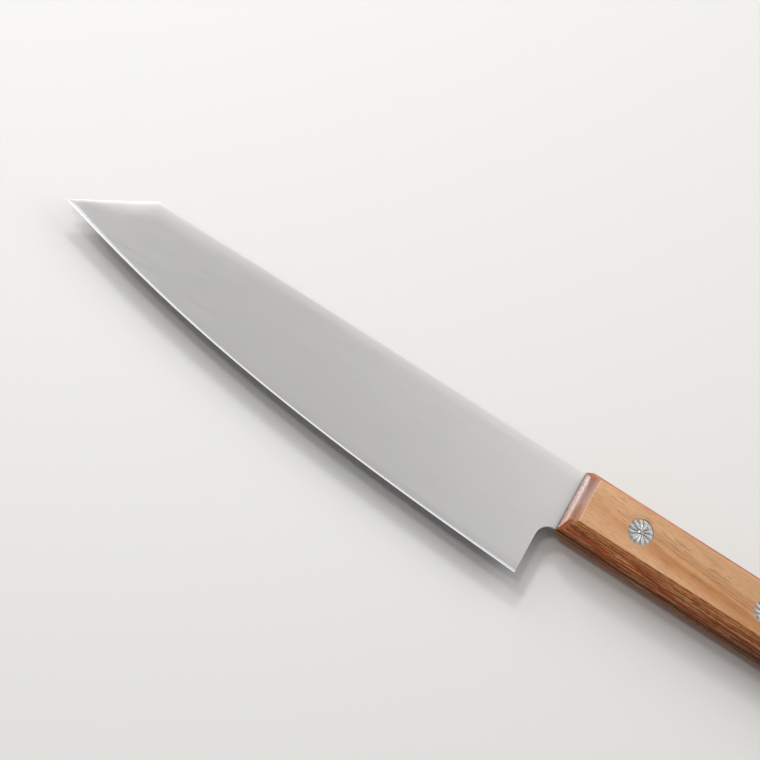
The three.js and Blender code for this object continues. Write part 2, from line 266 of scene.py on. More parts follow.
def section(x, row):
    """(y, z) of one row of the grid at x. row is (kind, share); kind is edge, face or crown."""
    kind, share = row
    edge, top = edge_depth(x), top_depth(x)
    height, bevel = edge - top, bevel_height(x)
    shoulder = SHOULDER_THICKNESS / 2 * bevel / BEVEL_HEEL
    from_clip = max(0.0, 1 - x / X_CLIP)
    further_back = min(1.0, (from_clip / CLIP_REACH) ** 2)
    wider, deeper = lerp(WIDER_AT_CLIP, 1, further_back), lerp(DEEPER_AT_CLIP, 1, further_back)
    crown = min(CROWN_WIDTH * wider, (height - bevel) / 2)
    if kind == "edge":
        return -edge, 0.0
    above = lerp(bevel, height - crown, share) if kind == "face" else height - crown * share
    spine = lerp(CLIP_THICKNESS, STOCK_THICKNESS, from_clip) / 2
    up = (above - bevel) / max(edge - bevel, BEVEL_TIP)
    ground = lerp(shoulder, spine, up * (1 + FACE_BULGE * (1 - up)))
    ground += ROLL_DROP * fullness(x) * min(1.0, (above - bevel) / ROLL_WIDTH)
    drop = 0.0
    for width, most in ((CROWN_WIDTH * wider, CROWN_DROP * deeper), (LIP_WIDTH * wider, LIP_DROP)):
        strip = min(width, crown)
        into = strip - (height - above)  # how far up this rolled strip the row lies
        if into > 0:
            drop += most / width * into**2 / strip
    drop *= lerp(1, NECK_SHARE, math.sqrt(from_clip))
    return above - edge, ground - drop * min(1.0, THIN_STEEL * ground / spine)


print("Steel at mid blade, in mm:", round(2 * section(X_TIP / 2, ("face", 1))[1], 3))

# %% Rows and columns of the grid
LOWER_ROWS, CHOIL_ROWS, UPPER_ROWS = 6, 12, 8
CROWN_SHARES = (0.85, 0.7, 0.55, 0.42, 0.3, 0.22, 0.16, 0.12, 0.08, 0.04, 0.0)  # 0 is the spine
CLIP_COLUMNS, BLADE_COLUMNS = 14, 76


def heel_share(y):
    """Share of the face, counted at the heel, at which height y lies."""
    return (y + HEEL_HEIGHT - BEVEL_HEEL) / (HEEL_HEIGHT - BEVEL_HEEL - CROWN_WIDTH)


low = heel_share(Y_NECK - CHOIL_RADIUS)
high = heel_share(Y_NECK)
turn = [math.sin(math.pi / 2 * i / CHOIL_ROWS) for i in range(1, CHOIL_ROWS)]
shares = [0.0, ROLL_WIDTH / HEEL_HEIGHT] + [low * i / LOWER_ROWS for i in range(1, LOWER_ROWS + 1)]
shares += [lerp(low, high, t) for t in turn]
shares += [lerp(high, 1, i / UPPER_ROWS) for i in range(UPPER_ROWS + 1)]
rows = [("edge", 0)] + [("face", s) for s in shares] + [("crown", s) for s in CROWN_SHARES]

columns = [lerp(X_TIP, X_CLIP, i / CLIP_COLUMNS) for i in range(CLIP_COLUMNS)]
columns += [lerp(X_CLIP, X_REAR, i / BLADE_COLUMNS) for i in range(BLADE_COLUMNS + 1)]
print(f"Grid of {len(rows)} rows and {len(columns)} columns")

# %% A grid becomes the left face
PULL_FROM = -32.0  # columns behind this lean, so that the last one follows heel and neck

bpy.ops.mesh.primitive_grid_add(
    x_subdivisions=len(columns) - 1, y_subdivisions=len(rows) - 1, size=1, location=KNIFE_ORIGIN
)
blade = name_new("steel_blade")
for vertex in blade.data.vertices:
    column = columns[round((vertex.co.x + 0.5) * (len(columns) - 1))]
    row = rows[round((vertex.co.y + 0.5) * (len(rows) - 1))]
    lean = max(0.0, (column - PULL_FROM) / (X_REAR - PULL_FROM))
    y_at_heel = section(X_HEEL, row)[0]
    x = column - lean * (X_REAR - rear_end(y_at_heel))
    vertex.co = Vector((x, *section(x, row))) * MM
print("Left face:", len(blade.data.polygons), "faces")

# %% [markdown]
# ## Closing the steel
# The face becomes a solid in two moves: its border at the spine and behind the heel is extruded
# and flattened on to the middle plane, and a Mirror modifier adds the right side. Then the
# corners of spine and neck are eased with a small bevel, as a cutler breaks them with a stone.

# %% Walls, mirror and eased corners
CORNER_EASE = 0.16  # mm
EASED_ABOVE = 0.25  # only where the steel is at least twice this thick
EASED_ANGLE = math.radians(45)  # only where two faces turn by more than this

bpy.ops.object.mode_set(mode="EDIT")
bpy.ops.mesh.select_all(action="SELECT")
bpy.ops.mesh.remove_doubles(threshold=WELD)
pick("edges", lambda e: e.is_boundary and max(v.co.z for v in e.verts) > 1e-9)
bpy.ops.mesh.extrude_edges_move()
bpy.ops.transform.resize(value=(1, 1, 0), center_override=KNIFE_ORIGIN)
close_up()
apply_modifier(blade, "MIRROR", use_axis=(False, False, True), merge_threshold=WELD)

bpy.ops.object.mode_set(mode="EDIT")
eased = pick(
    "edges",
    lambda e: e.is_manifold
    and e.calc_face_angle() > EASED_ANGLE
    and min(abs(v.co.z) for v in e.verts) > EASED_ABOVE * MM,
)
bpy.ops.mesh.bevel(offset=CORNER_EASE * MM, segments=3, affect="EDGES", clamp_overlap=True)
close_up()
print("Edges eased:", eased)

# %% [markdown]
# ## The tang
# The steel runs on through the handle at full thickness: a full tang, seen as a thin line between
# the scales, a hair below the wood. It is a strip whose lower border follows the handle's
# underside, thickened by Solidify, joined to the blade, and drilled for the rivets.

# %% The handle's underside and the tang
HANDLE_BELLY, BELLY_START = 0.7, math.tan(math.radians(0.9))
TANG_START, TANG_COLUMNS = 0.6, 24
TANG_CORNER = 0.8  # rounded lower corner at the butt
NEAR = 0.01 * MM  # close enough to count as the same place


def underside(x):
    """A cubic Bezier: it leaves the front at a slope and levels out at the butt."""
    t = x / HANDLE_LENGTH
    first = -HANDLE_HEIGHT - HANDLE_LENGTH / 3 * BELLY_START
    last = -HANDLE_HEIGHT - HANDLE_BELLY
    s = 1 - t
    return -HANDLE_HEIGHT * s**3 + 3 * first * s * s * t + (3 * s + t) * last * t * t


bpy.ops.mesh.primitive_grid_add(
    x_subdivisions=TANG_COLUMNS, y_subdivisions=1, size=1, location=KNIFE_ORIGIN
)
tang = bpy.context.object
for vertex in tang.data.vertices:
    x = lerp(TANG_START, HANDLE_LENGTH - TANG_RECESS, vertex.co.x + 0.5)
    y = -TANG_RECESS if vertex.co.y > 0 else underside(x) + TANG_RECESS
    vertex.co = Vector((x, y, 0)) * MM
apply_modifier(tang, "SOLIDIFY", thickness=STOCK_THICKNESS * MM, offset=0)

bpy.ops.object.mode_set(mode="EDIT")
butt_x = (HANDLE_LENGTH - TANG_RECESS) * MM - NEAR
pick("edges", lambda e: all(v.co.x > butt_x and v.co.y < -HANDLE_HEIGHT / 2 * MM for v in e.verts))
bpy.ops.mesh.bevel(offset=TANG_CORNER * MM, segments=6, affect="EDGES")
close_up()
print("Tang in mm:", [round(v / MM, 2) for v in tang.dimensions])

# %% Drill the tang and join it to the blade
RIVET_INSET = 18.4  # from the handle's front and from its butt
RIVET_X = {"front": RIVET_INSET, "middle": HANDLE_LENGTH / 2, "rear": HANDLE_LENGTH - RIVET_INSET}
RIVET_Y = -8.8
TUBE_RADIUS, HOLE_CLEARANCE = 2.1, 0.1
HOLE_SIDES = 48

combine(blade, tang, "UNION")
for x in RIVET_X.values():
    bpy.ops.mesh.primitive_cylinder_add(
        vertices=HOLE_SIDES,
        radius=(TUBE_RADIUS + HOLE_CLEARANCE) * MM,
        depth=4 * STOCK_THICKNESS * MM,
        location=at(x, RIVET_Y, 0),
    )
    combine(blade, bpy.context.object, "DIFFERENCE")
print("Blade with tang in mm:", [round(v / MM, 2) for v in blade.dimensions])
finish_piece(blade, "blade", corner_angle=5)

# %% [markdown]
# ## The scales
# Each scale is planed from a block, and the model is made the same way. A cube is cut into
# stations along its length and its lower side is let down to the belly curve. Then bisect cuts
# plane it: the two long chamfers, and at front and butt a leaning end face, a chamfer above it
# and a small one at each end of the long chamfers. The arrises are eased with a bevel.

# %% A block for the left scale
GLUE_FILM = 0.05
Z_INNER = STOCK_THICKNESS / 2 + GLUE_FILM
SCALE_CUTS = 23
SPARE = 1.0  # extra wood at the ends and inside, planed off so that every arris runs through

block = Vector((HANDLE_LENGTH + 2 * SPARE, HANDLE_HEIGHT, Z_FACE - Z_INNER + SPARE))
bpy.ops.mesh.primitive_cube_add(size=1, scale=block * MM)
left_scale = name_new("wood_scale_left")
left_scale.location = at(HANDLE_LENGTH / 2, -HANDLE_HEIGHT / 2, (Z_FACE + Z_INNER - SPARE) / 2)
bpy.ops.object.transform_apply(location=True, rotation=True, scale=True)

bpy.ops.object.mode_set(mode="EDIT")
pick("edges", lambda e: abs(e.verts[0].co.x - e.verts[1].co.x) > MM)
bpy.ops.mesh.subdivide(number_cuts=SCALE_CUTS)
for i in range(SCALE_CUTS + 2):
    x = block.x * i / (SCALE_CUTS + 1) - SPARE
    corner = at(x, -HANDLE_HEIGHT, 0)
    pick("verts", lambda v: abs(v.co.x - corner.x) < NEAR and abs(v.co.y - corner.y) < NEAR)
    bpy.ops.transform.translate(value=(0, (underside(x) + HANDLE_HEIGHT) * MM, 0))
print("Belly let down by", round(-underside(HANDLE_LENGTH) - HANDLE_HEIGHT, 2), "mm")

# %% Plane the chamfers
SIDE_RUN, SIDE_DEPTH = 2.6, 4.4
END_RUN, END_DEPTH = 2.1, 1.9
END_LEAN = 0.8  # the end face leans back this far below its chamfer
END_CORNER = 1.0

end_rise = Z_FACE - END_DEPTH - Z_INNER
corner_x = END_LEAN * (Z_FACE - SIDE_DEPTH - Z_INNER) / end_rise + END_CORNER
cuts = []
for y, out in ((0, 1), (-HANDLE_HEIGHT, -1)):
    cuts.append((at(0, y, Z_FACE - SIDE_DEPTH), Vector((0, out * SIDE_DEPTH, SIDE_RUN)).normalized()))
for x, out in ((0, -1), (HANDLE_LENGTH, 1)):
    face = Vector((out * end_rise, 0, END_LEAN)).normalized()
    cuts.append((at(x, 0, Z_INNER), face))
    chamfer = Vector((out * END_DEPTH, 0, END_RUN)).normalized()
    cuts.append((at(x - out * (END_LEAN + END_RUN), 0, Z_FACE), chamfer))
    for point, side in cuts[:2]:
        corner = point + Vector(((x - out * corner_x) * MM, 0, 0))
        cuts.append((corner, (face + side).normalized()))
for point, normal in cuts:
    bpy.ops.mesh.select_all(action="SELECT")
    bpy.ops.mesh.bisect(plane_co=point, plane_no=normal, use_fill=True, clear_outer=True)
print("Planes cut:", len(cuts))

# %% Ease the arrises
BROW_EASE = 1.3  # between an end face and its chamfer, rounder than the rest
ARRIS_EASE = 0.2
ARRIS_ANGLE = math.radians(20)  # an arris turns by more than this

brow_z, inner_z = at(0, 0, Z_FACE - END_DEPTH).z, at(0, 0, Z_INNER).z


def is_arris(edge):
    reaches = max(v.co.z for v in edge.verts) > inner_z
    return reaches and edge.is_manifold and edge.calc_face_angle() > ARRIS_ANGLE


brows = pick("edges", lambda e: is_arris(e) and all(abs(v.co.z - brow_z) < NEAR for v in e.verts))
bpy.ops.mesh.bevel(offset=BROW_EASE * MM, segments=8, affect="EDGES", clamp_overlap=True)
arrises = pick("edges", is_arris)
bpy.ops.mesh.bevel(offset=ARRIS_EASE * MM, segments=4, affect="EDGES", clamp_overlap=True)
bpy.ops.mesh.select_all(action="SELECT")
bpy.ops.mesh.bisect(plane_co=at(0, 0, Z_INNER), plane_no=(0, 0, -1), use_fill=True, clear_outer=True)
close_up()
print("Brow edges eased:", brows, "and arris edges:", arrises)

# %% [markdown]
# ## Bores for the rivets
# Each rivet needs a stepped hole: wide for the head, narrow for the shank. The cutter is a
# cylinder whose lower face is inset and pushed down. The finished left scale is then copied and
# mirrored through the steel for the right side.

# %% Stepped bores, then the right scale
HEAD_RADIUS, HEAD_THICKNESS, HEAD_SINK = 3.5, 1.3, 0.05
HEAD_FIT = 0.03  # the head is driven into its bore
BORE_TOP = Z_FACE + 2  # clear of the wood
BORE_SIDES = 96
floor_z = Z_FACE - HEAD_SINK - HEAD_THICKNESS - GLUE_FILM

for x in RIVET_X.values():
    bpy.ops.mesh.primitive_cylinder_add(
        vertices=BORE_SIDES,
        radius=(HEAD_RADIUS + HEAD_FIT) * MM,
        depth=(BORE_TOP - floor_z) * MM,
        location=at(x, RIVET_Y, (BORE_TOP + floor_z) / 2),
    )
    bore = name_new("stepped_bore")
    bpy.ops.object.mode_set(mode="EDIT")
    pick("faces", lambda f: f.normal.z < -0.9)
    step = HEAD_RADIUS + HEAD_FIT - TUBE_RADIUS - HOLE_CLEARANCE
    bpy.ops.mesh.inset(thickness=step * MM)
    bpy.ops.mesh.extrude_region_move(TRANSFORM_OT_translate={"value": (0, 0, -2 * Z_FACE * MM)})
    bpy.ops.object.mode_set(mode="OBJECT")
    combine(left_scale, bore, "DIFFERENCE")

right_scale = copy_of(left_scale, "wood_scale_right")
flip(right_scale)
finish_piece(left_scale, "left_scale", corner_angle=35)
finish_piece(right_scale, "right_scale", corner_angle=35)

# %% [markdown]
# ## Rosette rivets
# A cutler's rivet is a hollow half and a solid half pressed into each other, and here both heads
# carry a twelve-petalled rosette. One petal is enough to model: a small grid is bent to a wedge of
# a circle, its ridge and groove are set by a rule, and Spin copies it twelve times round.

# %% One petal, spun twelve times
PETALS = 12
PETAL_ANGLE = 2 * math.pi / PETALS
PETAL_RELIEF, TIP_RELIEF = 0.2, 0.12  # depth of the grooves at the root and at the rim
PETAL_TIP = 1.0  # length of a petal's rounded end
PETAL_FULLNESS = 0.8  # exponent: lower is a fuller petal with a sharper groove
ROOT_RIDGE = 0.2  # the ridge starts this low at the button and rises to 1
HEAD_CROWN = 0.02  # the whole head is a low dome
BUTTON_RADIUS, BUTTON_FALL = 0.6, 0.2
BUTTON_RINGS = [0, 0.25, 0.42, 0.54]  # radii of the grid's rings in the button
RIM_WIDTH = 0.06
PETAL_FACETS, PETAL_RINGS = 16, 24
CREST = Z_FACE - HEAD_SINK


def rosette_depth(radius, angle):
    dome = HEAD_CROWN * (radius / HEAD_RADIUS) ** 2
    if radius <= BUTTON_RADIUS:
        return dome + BUTTON_FALL * (radius / BUTTON_RADIUS) ** 2
    petal_end = HEAD_RADIUS - RIM_WIDTH
    along = min(1.0, (radius - BUTTON_RADIUS) / (petal_end - BUTTON_RADIUS))
    tip = max(0.0, 1 - (petal_end - radius) / PETAL_TIP)
    across = 2 * angle / PETAL_ANGLE
    ridge = math.cos(math.pi / 2 * min(1.0, math.hypot(across, tip))) ** PETAL_FULLNESS
    ridge *= math.sqrt(lerp(ROOT_RIDGE, 1, along))
    return dome + lerp(PETAL_RELIEF, TIP_RELIEF, along) * (1 - ridge)


rings = BUTTON_RINGS + [
    lerp(BUTTON_RADIUS, HEAD_RADIUS - RIM_WIDTH, i / PETAL_RINGS) for i in range(PETAL_RINGS + 1)
] + [HEAD_RADIUS]
centre = at(RIVET_X["front"], RIVET_Y, 0)

bpy.ops.mesh.primitive_grid_add(
    x_subdivisions=len(rings) - 1, y_subdivisions=PETAL_FACETS, size=1, location=centre
)
tube = name_new("front_rosette_tube")
for vertex in tube.data.vertices:
    radius = rings[round((vertex.co.x + 0.5) * (len(rings) - 1))]
    angle = vertex.co.y * PETAL_ANGLE
    depth = rosette_depth(radius, angle)
    vertex.co = Vector((radius * math.cos(angle), radius * math.sin(angle), CREST - depth)) * MM

bpy.ops.object.mode_set(mode="EDIT")
bpy.ops.mesh.select_all(action="SELECT")
bpy.ops.mesh.spin(
    steps=PETALS, dupli=True, angle=2 * math.pi, center=centre, axis=(0, 0, 1), use_auto_merge=True
)
close_up()
print("Rosette:", len(tube.data.polygons), "faces")

# %% [markdown]
# ## Heads, shanks and copies
# The rim is extruded down for the side of the head, drawn in to the shank, and extruded again.
# The hollow half goes on inwards and up again, the solid half is simply closed. The pair is
# modelled once at the front rivet and then copied to the other two.

# %% Shank of both halves
PIN_RADIUS, PIN_CLEARANCE, END_PLAY = 1.3, 0.05, 0.3
UNDER_HEAD = CREST - HEAD_THICKNESS
SHANK_END = -UNDER_HEAD + END_PLAY


def draw_rim(radius, height):
    """Extrude the open border, then set it to this radius and height."""
    bpy.ops.mesh.extrude_edges_move()
    shape = bmesh.from_edit_mesh(bpy.context.edit_object.data)
    for vertex in shape.verts:
        if vertex.select:
            flat = vertex.co.xy.normalized() * radius * MM
            vertex.co = (flat.x, flat.y, height * MM)
    bmesh.update_edit_mesh(bpy.context.edit_object.data)


def add_shank(piece, outline):
    only(piece)
    bpy.ops.object.mode_set(mode="EDIT")
    pick("edges", lambda e: e.is_boundary)
    for radius, height in outline:
        draw_rim(radius, height)
    bpy.ops.mesh.edge_face_add()
    close_up()


pin = copy_of(tube, "front_rosette_pin")
bore_radius = PIN_RADIUS + PIN_CLEARANCE
add_shank(tube, [(HEAD_RADIUS, UNDER_HEAD), (TUBE_RADIUS, UNDER_HEAD), (TUBE_RADIUS, SHANK_END),
                 (bore_radius, SHANK_END), (bore_radius, UNDER_HEAD)])
add_shank(pin, [(HEAD_RADIUS, UNDER_HEAD), (PIN_RADIUS, UNDER_HEAD), (PIN_RADIUS, SHANK_END)])
flip(pin)
print("Shank ends at", round(SHANK_END, 2), "mm")

# %% Copy the pair to the other rivets
rosettes = []
for place, x in RIVET_X.items():
    for half, kind in ((tube, "tube"), (pin, "pin")):
        piece = half
        if place != "front":
            piece = copy_of(half, f"{place}_rosette_{kind}")
            piece.location = at(x, RIVET_Y, 0)
        rosettes.append((piece, f"{place}_rivet_{kind}"))
for piece, node in rosettes:
    finish_piece(piece, node, corner_angle=40)

# %% [markdown]
# ## Materials
# Colours are written as sRGB hex values, as a colour picker shows them, and one function turns
# them to the linear values that Blender renders with. Another adds a node with its settings and
# its links. All patterns read Object coordinates, scaled to millimetres.

# %% Colour and node helpers


def linear(hex_colour):
    """Linear RGBA of an sRGB hex colour."""
    values = [int(hex_colour[i : i + 2], 16) / 255 for i in (1, 3, 5)]
    return [v / 12.92 if v <= 0.04045 else ((v + 0.055) / 1.055) ** 2.4 for v in values] + [1]


def add_node(tree, kind, inputs, stops=(), **settings):
    """Add a node. An input is a value, a socket, or a node whose first output in use is linked."""
    node = tree.nodes.new(kind)
    for setting, value in settings.items():
        setattr(node, setting, value)
    for socket, value in inputs.items():
        if isinstance(value, bpy.types.Node):
            value = next(output for output in value.outputs if output.enabled)
        if isinstance(value, bpy.types.NodeSocket):
            tree.links.new(value, node.inputs[socket])
        else:
            node.inputs[socket].default_value = value
    for i, (position, hex_colour) in enumerate(stops):
        if i >= len(node.color_ramp.elements):
            node.color_ramp.elements.new(1)
        node.color_ramp.elements[i].position = position
        node.color_ramp.elements[i].color = linear(hex_colour)
    return node


def new_material(name):
    """An empty material, and Object coordinates in millimetres."""
    material = bpy.data.materials.new(name)
    material.use_nodes = True
    tree = material.node_tree
    tree.nodes.clear()
    place = add_node(tree, "ShaderNodeTexCoord", {}).outputs["Object"]
    in_mm = add_node(tree, "ShaderNodeMapping", {"Vector": place, "Scale": (1 / MM,) * 3})
    return material, tree, in_mm


print("Mid grey in linear light:", round(linear("#808080")[0], 3))

# %% [markdown]
# ### Satin stainless steel
# The faces are ground on a fine belt, so thousands of hairlines run along the blade. They spread
# each reflection into a soft grey sheen. Real hairlines are some hundredths of a millimetre apart;
# they are drawn about 0.25 mm apart here, because finer ones would vanish in the render. Where the
# steel enters the wood, a thin dark line is painted on it: painted shade of the gap at the wood's
# front.

# %% Satin stainless steel
HAIRLINE = 0.25  # mm across
HAIRLINE_LENGTH = 14.0  # mm along
SHADE_LINE_FROM, SHADE_LINE_TO = 0.45, 0.2  # mm in front of the wood, where the painted shade line begins and is full

satin, tree, in_mm = new_material("stainless_steel_belt_satin")
lines = add_node(
    tree, "ShaderNodeMapping",
    {"Vector": in_mm, "Scale": (1 / HAIRLINE_LENGTH, 1 / HAIRLINE, 1 / HAIRLINE)},
)
hair = add_node(
    tree, "ShaderNodeTexNoise", {"Vector": lines, "Scale": 1.0, "Detail": 3.0, "Roughness": 0.6}
)
clean = add_node(
    tree, "ShaderNodeValToRGB", {"Fac": hair}, stops=[(0.3, "#CBCAC7"), (0.7, "#CECDCA")]
)
rough = add_node(
    tree, "ShaderNodeMapRange",
    {"Value": hair, "From Min": 0.3, "From Max": 0.7, "To Min": 0.3, "To Max": 0.33},
)
relief = add_node(
    tree, "ShaderNodeBump", {"Height": hair, "Strength": 0.02, "Distance": 0.01 * MM}
)
front = at(0, 0, 0).x / MM
along = add_node(tree, "ShaderNodeSeparateXYZ", {"Vector": in_mm}).outputs["X"]
# Painted shade: a dark line is painted on the steel just in front of the wood.
painted_shade_and_coat = add_node(
    tree, "ShaderNodeMapRange",
    {"Value": along, "From Min": front - SHADE_LINE_FROM, "From Max": front - SHADE_LINE_TO, "To Max": 0.3},
)
tint = add_node(
    tree, "ShaderNodeMix", {"Factor": painted_shade_and_coat, 6: clean, 7: linear("#4A3C34")}, data_type="RGBA"
)
shader = add_node(
    tree, "ShaderNodeBsdfPrincipled",
    {"Metallic": 1.0, "Base Color": tint, "Roughness": rough, "Normal": relief},
)
add_node(tree, "ShaderNodeOutputMaterial", {"Surface": shader})
print("Made", satin.name)

# %% [markdown]
# ### Honed edge and tang rim
# The edge bevel is honed on a fine stone and is brighter than the face. At the very edge a
# near-white line is painted into its colour, a painted highlight of the keen edge; the shader finds
# it by its distance from the middle of the steel. The rim of the tang lies between the scales and is
# painted dark brown, as painted shade, so it shows as a dark line.

# %% Honed edge
SCRATCH = 0.2  # mm
EDGE_HIGHLIGHT_FROM, EDGE_HIGHLIGHT_TO = 0.1, 0.03  # mm from the middle of the steel


def distance_from_middle(tree, in_mm):
    """How far a point lies from the middle of the steel, in mm."""
    height = add_node(tree, "ShaderNodeSeparateXYZ", {"Vector": in_mm}).outputs["Z"]
    above = add_node(tree, "ShaderNodeMath", {0: height, 1: Z_FACE}, operation="SUBTRACT")
    return add_node(tree, "ShaderNodeMath", {0: above}, operation="ABSOLUTE")


honed, tree, in_mm = new_material("stainless_steel_honed_edge")
scratch = add_node(tree, "ShaderNodeTexNoise", {"Vector": in_mm, "Scale": 1 / SCRATCH, "Detail": 2.0})
rough = add_node(
    tree, "ShaderNodeMapRange", {"Value": scratch, "To Min": 0.14, "To Max": 0.24}
)
from_middle = distance_from_middle(tree, in_mm)
# Painted highlight: the colour turns near white at the very edge.
painted_edge_highlight = add_node(
    tree, "ShaderNodeMapRange", {"Value": from_middle, "From Min": EDGE_HIGHLIGHT_FROM, "From Max": EDGE_HIGHLIGHT_TO}
)
stone = add_node(
    tree, "ShaderNodeValToRGB", {"Fac": scratch}, stops=[(0.35, "#BEBEC3"), (0.65, "#DCDCE0")]
)
tint = add_node(
    tree, "ShaderNodeMix", {"Factor": painted_edge_highlight, 6: stone, 7: linear("#F6F6FA")}, data_type="RGBA"
)
shader = add_node(
    tree, "ShaderNodeBsdfPrincipled",
    {"Metallic": 1.0, "Base Color": tint, "Roughness": rough},
)
add_node(tree, "ShaderNodeOutputMaterial", {"Surface": shader})
print("Made", honed.name)

# %% Tang rim painted dark
BLOTCH = 1.5  # mm

# Painted shade: the rim of the tang between the scales gets a dark brown colour.
painted_dark_rim, tree, in_mm = new_material("stainless_steel_rim_painted_dark")
blotch = add_node(tree, "ShaderNodeTexNoise", {"Vector": in_mm, "Scale": 1 / BLOTCH, "Detail": 3.0})
tint = add_node(
    tree, "ShaderNodeValToRGB", {"Fac": blotch}, stops=[(0.35, "#38241A"), (0.7, "#523626")]
)
shader = add_node(
    tree, "ShaderNodeBsdfPrincipled",
    {"Base Color": tint, "Roughness": 0.6, "Specular IOR Level": 0.2},
)
add_node(tree, "ShaderNodeOutputMaterial", {"Surface": shader})
print("Made", painted_dark_rim.name)

# %% Give the blade its three finishes
DARK_RIM_BELOW, DARK_RIM_ABOVE = 0.3, 1.3  # mm behind the handle's front, underneath and at the spine
BEVEL_SHARE = 0.98  # of the bevel's height that counts as honed
SIDE_FACE = 0.9  # how squarely a face of the bevel looks to its side

for material in (satin, honed, painted_dark_rim):
    blade.data.materials.append(material)
counts = [0, 0, 0]
for face in blade.data.polygons:
    point = (face.center - KNIFE_ORIGIN) / MM
    bevel_top = bevel_height(point.x) * BEVEL_SHARE - edge_depth(point.x)
    if point.x > (DARK_RIM_BELOW if point.y < -HANDLE_HEIGHT / 2 else DARK_RIM_ABOVE):
        face.material_index = 2
    elif point.y < bevel_top and abs(face.normal.z) > SIDE_FACE:
        face.material_index = 1
    counts[face.material_index] += 1
print("Faces satin, honed, stained:", counts)

# %% [markdown]
# ### Lacquered laminated wood
# The scales are pressed from thin sheets of hardwood that lie parallel to the steel, soaked with
# lacquer and polished. The broad side lies within one sheet. It shows slanting growth bands, darker
# veins that follow them, and short pores. The chamfers cut across the sheets, so they show many
# fine dark lines; their tone is also made darker and redder as painted shade. The end grain drinks
# more lacquer and turns redder, and a painted reflection is laid into its colour. The outer sheets
# are paler, and towards the steel they are darkened by painted shade. All of it is one solid pattern
# in the block, and it is built from noise in cells of different sizes.

# %% Noise in the wood
FIGURE_SLANT = math.radians(4.4)  # of the figure against the handle

# Cell sizes in mm: along the grain, across it, and through the sheets.
WOOD_CELLS = {
    "drift": (45, 7, 4),
    "wander": (11, 3, 3),
    "patch": (30, 4, 3),
    "fibre": (2.5, 0.22, 0.5),
    "pore": (2.6, 0.24, 0.4),
    "wave": (60, 30, 0.9),
    "ripple": (14, 4, 0.6),
    "break": (2.2, 0.9, 0.3),
    "band": (24, 1.2, 0.6),
    "stain": (9, 3, 1.0),
    "end": (1, 0.5, 0.3),
}

wood, tree, in_mm = new_material("laminated_hardwood_lacquered")
slanted = add_node(tree, "ShaderNodeMapping", {"Vector": in_mm, "Rotation": (0, 0, FIGURE_SLANT)})
noise = {}
for name, cell in WOOD_CELLS.items():
    cells = add_node(
        tree, "ShaderNodeMapping", {"Vector": slanted, "Scale": [1 / side for side in cell]}
    )
    noise[name] = add_node(
        tree, "ShaderNodeTexNoise",
        {"Vector": cells, "Scale": 1.0, "Detail": 3.0, "Roughness": 0.55},
    )
grain = add_node(tree, "ShaderNodeSeparateXYZ", {"Vector": slanted})
across = grain.outputs["Y"]
place = add_node(tree, "ShaderNodeSeparateXYZ", {"Vector": in_mm})
length, width, height = place.outputs["X"], place.outputs["Y"], place.outputs["Z"]
print(len(noise), "noises, figure slants by", round(math.degrees(FIGURE_SLANT)), "degrees")

# %% Broad side: growth bands
BAND = 18.0  # mm across one set of growth bands
DRIFT, WANDER, FRAY = 3.0, 2.4, 0.6  # mm that they swing over a long, a short and a tiny way
BAND_START = -(DRIFT + WANDER + FRAY) / 2 / BAND
CLEAR_FROM, CLEAR_TO = 8, 28  # mm behind the handle's front, where the bands grow clear

drifted = add_node(
    tree, "ShaderNodeMath", {0: noise["drift"], 1: DRIFT, 2: across}, operation="MULTIPLY_ADD"
)
wandered = add_node(
    tree, "ShaderNodeMath", {0: noise["wander"], 1: WANDER, 2: drifted}, operation="MULTIPLY_ADD"
)
frayed = add_node(
    tree, "ShaderNodeMath", {0: noise["fibre"], 1: FRAY, 2: wandered}, operation="MULTIPLY_ADD"
)
bands = add_node(
    tree, "ShaderNodeMath", {0: frayed, 1: 1 / BAND, 2: BAND_START}, operation="MULTIPLY_ADD"
)
band = add_node(tree, "ShaderNodeMath", {0: bands}, operation="FRACT")
growth = add_node(
    tree, "ShaderNodeValToRGB", {"Fac": band},
    stops=[
        (0.0, "#BE9062"), (0.27, "#D4A985"), (0.37, "#CD9D71"), (0.47, "#BC8152"), (0.575, "#AB703A"),
        (0.61, "#C59260"), (0.645, "#C4905F"), (0.68, "#AB7647"), (0.72, "#BA895C"), (0.75, "#AD7A4A"),
        (0.8, "#C4986B"), (1.0, "#BE9062"),
    ],
)
plain = add_node(
    tree, "ShaderNodeValToRGB", {"Fac": noise["patch"]},
    stops=[(0.35, "#C19061"), (0.5, "#C7986D"), (0.65, "#CDA17C")],
)
settled = add_node(
    tree, "ShaderNodeMapRange",
    {
        "Value": length, "From Min": front + CLEAR_FROM, "From Max": front + CLEAR_TO,
        "To Min": 0.3, "To Max": 1.0,
    },
)
tone = add_node(
    tree, "ShaderNodeMix", {"Factor": settled, 6: plain, 7: growth}, data_type="RGBA"
)
print("Growth bands repeat every", BAND, "mm")

# %% Broad side: veins, fibres and pores
VEIN_CELL = (6, 0.6, 1)  # mm; the veins follow the bands
DARKER_FROM, DARKER_TO = 15, 60  # mm behind the handle's front, over which the wood turns darker towards the butt

